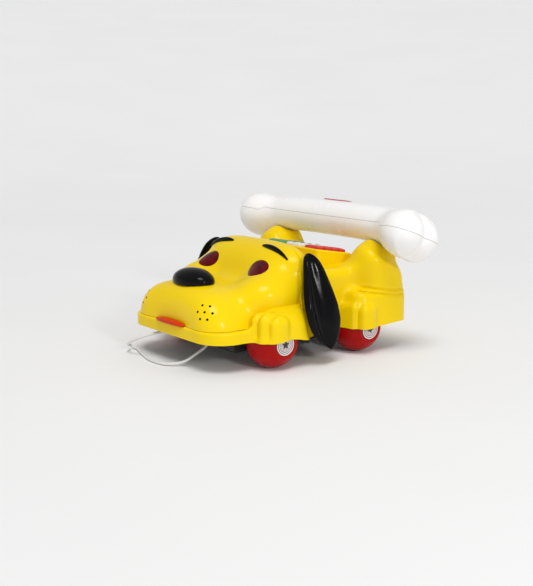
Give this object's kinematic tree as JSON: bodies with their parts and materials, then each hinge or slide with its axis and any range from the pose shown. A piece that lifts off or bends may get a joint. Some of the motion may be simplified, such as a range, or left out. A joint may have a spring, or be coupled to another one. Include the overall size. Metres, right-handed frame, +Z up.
{
  "type": "novelty shaped telephone",
  "caption": "Toddler pull-along toy telephone shaped as a lying dog, with a bone handset, keypad back, hanging ears and ball wheels.",
  "frame": {"origin": "centre of the bounding box without the cord, on the surface the wheels stand on", "axes": "-Y is the dog's face and the way it is pulled, +X is the dog's left side, +Z is up"},
  "size_m": [0.2108, 0.1959, 0.1133],
  "materials": {
    "yellow_abs": "glossy injection-moulded ABS",
    "black_gloss": "high-gloss moulded plastic",
    "black_matt": "fine matt moulded plastic",
    "red_wheel": "glossy moulded plastic",
    "sticker_paper": "satin printed film",
    "red_lens": "dark translucent red, polished",
    "red_badge": "satin moulded plastic",
    "white_abs": "glossy moulded plastic",
    "white_cord": "braided synthetic cord",
    "tongue_red": "satin moulded plastic",
    "key_red": "satin",
    "key_white": "satin",
    "key_green": "satin",
    "grey_rubber": "matt silicone rubber",
    "board_green": "solder-masked laminate",
    "plated_contact": "nickel plated",
    "cell_wrap": "shrink-wrapped cell",
    "zinc_steel": "zinc plated"
  },
  "bodies": {
    "shell": {"base_plate": "black_matt", "battery_1": "cell_wrap", "battery_2": "cell_wrap", "battery_contact_l": "plated_contact", "battery_contact_r": "plated_contact", "battery_door": "black_matt", "body_shell": "yellow_abs", "brow_l": "black_gloss", "brow_r": "black_gloss", "case_screw_1": "zinc_steel", "case_screw_2": "zinc_steel", "case_screw_3": "zinc_steel", "case_screw_4": "zinc_steel", "console": "yellow_abs", "cord_anchor": "black_matt", "door_screw": "zinc_steel", "eye_led_l": "red_lens", "eye_led_r": "red_lens", "eye_lens_l": "red_lens", "eye_lens_r": "red_lens", "face_shell": "yellow_abs", "key_membrane": "grey_rubber", "main_pcb": "board_green", "nose": "black_gloss", "pull_cord": "white_cord", "sound_chip": "black_matt", "speaker_cone": "black_matt", "speaker_magnet": "zinc_steel", "tongue": "tongue_red"},
    "axle_set_front": {"axle_front": "zinc_steel", "wheel_front_l": "red_wheel", "wheel_front_r": "red_wheel", "hub_sticker_front_l": "sticker_paper", "hub_sticker_front_r": "sticker_paper"},
    "axle_set_rear": {"axle_rear": "zinc_steel", "wheel_rear_l": "red_wheel", "wheel_rear_r": "red_wheel", "hub_sticker_rear_l": "sticker_paper", "hub_sticker_rear_r": "sticker_paper"},
    "ear_left": {"ear_l": "black_gloss", "ear_pin_l": "black_gloss"},
    "ear_right": {"ear_r": "black_gloss", "ear_pin_r": "black_gloss"},
    "handset": {"handset_top": "white_abs", "handset_bottom": "white_abs", "handset_badge": "red_badge"},
    "switch": {"power_switch": "red_badge"},
    "key_1_cap": {"key_1": "key_red"},
    "key_2_cap": {"key_2": "key_white"},
    "key_3_cap": {"key_3": "key_green"},
    "key_4_cap": {"key_4": "key_red"},
    "key_5_cap": {"key_5": "key_white"},
    "key_6_cap": {"key_6": "key_green"},
    "key_7_cap": {"key_7": "key_red"},
    "key_8_cap": {"key_8": "key_white"},
    "key_9_cap": {"key_9": "key_green"},
    "key_star_cap": {"key_star": "key_red"},
    "key_0_cap": {"key_0": "key_white"},
    "key_hash_cap": {"key_hash": "key_green"}
  },
  "joints": [
    {"name": "axle_front_spin", "type": "hinge", "parent": "shell", "child": "axle_set_front", "pos_m": [0, -0.037, 0.0195], "axis": [1, 0, 0], "continuous": true},
    {"name": "axle_rear_spin", "type": "hinge", "parent": "shell", "child": "axle_set_rear", "pos_m": [0, 0.0476, 0.0195], "axis": [1, 0, 0], "continuous": true},
    {"name": "ear_left_swing", "type": "hinge", "parent": "shell", "child": "ear_left", "pos_m": [0.06, 0, 0.0745], "axis": [1, 0, 0], "range_deg": [-12, 12]},
    {"name": "ear_right_swing", "type": "hinge", "parent": "shell", "child": "ear_right", "pos_m": [-0.06, 0, 0.0745], "axis": [1, 0, 0], "range_deg": [-12, 12]},
    {"name": "handset_lift", "type": "slide", "parent": "shell", "child": "handset", "axis": [0, 0, 1], "range_m": [0, 0.12]},
    {"name": "switch_slide", "type": "slide", "parent": "shell", "child": "switch", "axis": [1, 0, 0], "range_m": [0, 0.004]},
    {"name": "key_1_press", "type": "slide", "parent": "shell", "child": "key_1_cap", "axis": [0, -0.1676, -0.9859], "range_m": [0, 0.0015], "stiffness_N_per_m": 300, "springref_m": -0.0004},
    {"name": "key_2_press", "type": "slide", "parent": "shell", "child": "key_2_cap", "axis": [0, -0.1676, -0.9859], "range_m": [0, 0.0015], "stiffness_N_per_m": 300, "springref_m": -0.0004},
    {"name": "key_3_press", "type": "slide", "parent": "shell", "child": "key_3_cap", "axis": [0, -0.1676, -0.9859], "range_m": [0, 0.0015], "stiffness_N_per_m": 300, "springref_m": -0.0004},
    {"name": "key_4_press", "type": "slide", "parent": "shell", "child": "key_4_cap", "axis": [0, -0.1676, -0.9859], "range_m": [0, 0.0015], "stiffness_N_per_m": 300, "springref_m": -0.0004},
    {"name": "key_5_press", "type": "slide", "parent": "shell", "child": "key_5_cap", "axis": [0, -0.1676, -0.9859], "range_m": [0, 0.0015], "stiffness_N_per_m": 300, "springref_m": -0.0004},
    {"name": "key_6_press", "type": "slide", "parent": "shell", "child": "key_6_cap", "axis": [0, -0.1676, -0.9859], "range_m": [0, 0.0015], "stiffness_N_per_m": 300, "springref_m": -0.0004},
    {"name": "key_7_press", "type": "slide", "parent": "shell", "child": "key_7_cap", "axis": [0, -0.1676, -0.9859], "range_m": [0, 0.0015], "stiffness_N_per_m": 300, "springref_m": -0.0004},
    {"name": "key_8_press", "type": "slide", "parent": "shell", "child": "key_8_cap", "axis": [0, -0.1676, -0.9859], "range_m": [0, 0.0015], "stiffness_N_per_m": 300, "springref_m": -0.0004},
    {"name": "key_9_press", "type": "slide", "parent": "shell", "child": "key_9_cap", "axis": [0, -0.1676, -0.9859], "range_m": [0, 0.0015], "stiffness_N_per_m": 300, "springref_m": -0.0004},
    {"name": "key_star_press", "type": "slide", "parent": "shell", "child": "key_star_cap", "axis": [0, -0.1676, -0.9859], "range_m": [0, 0.0015], "stiffness_N_per_m": 300, "springref_m": -0.0004},
    {"name": "key_0_press", "type": "slide", "parent": "shell", "child": "key_0_cap", "axis": [0, -0.1676, -0.9859], "range_m": [0, 0.0015], "stiffness_N_per_m": 300, "springref_m": -0.0004},
    {"name": "key_hash_press", "type": "slide", "parent": "shell", "child": "key_hash_cap", "axis": [0, -0.1676, -0.9859], "range_m": [0, 0.0015], "stiffness_N_per_m": 300, "springref_m": -0.0004}
  ]
}
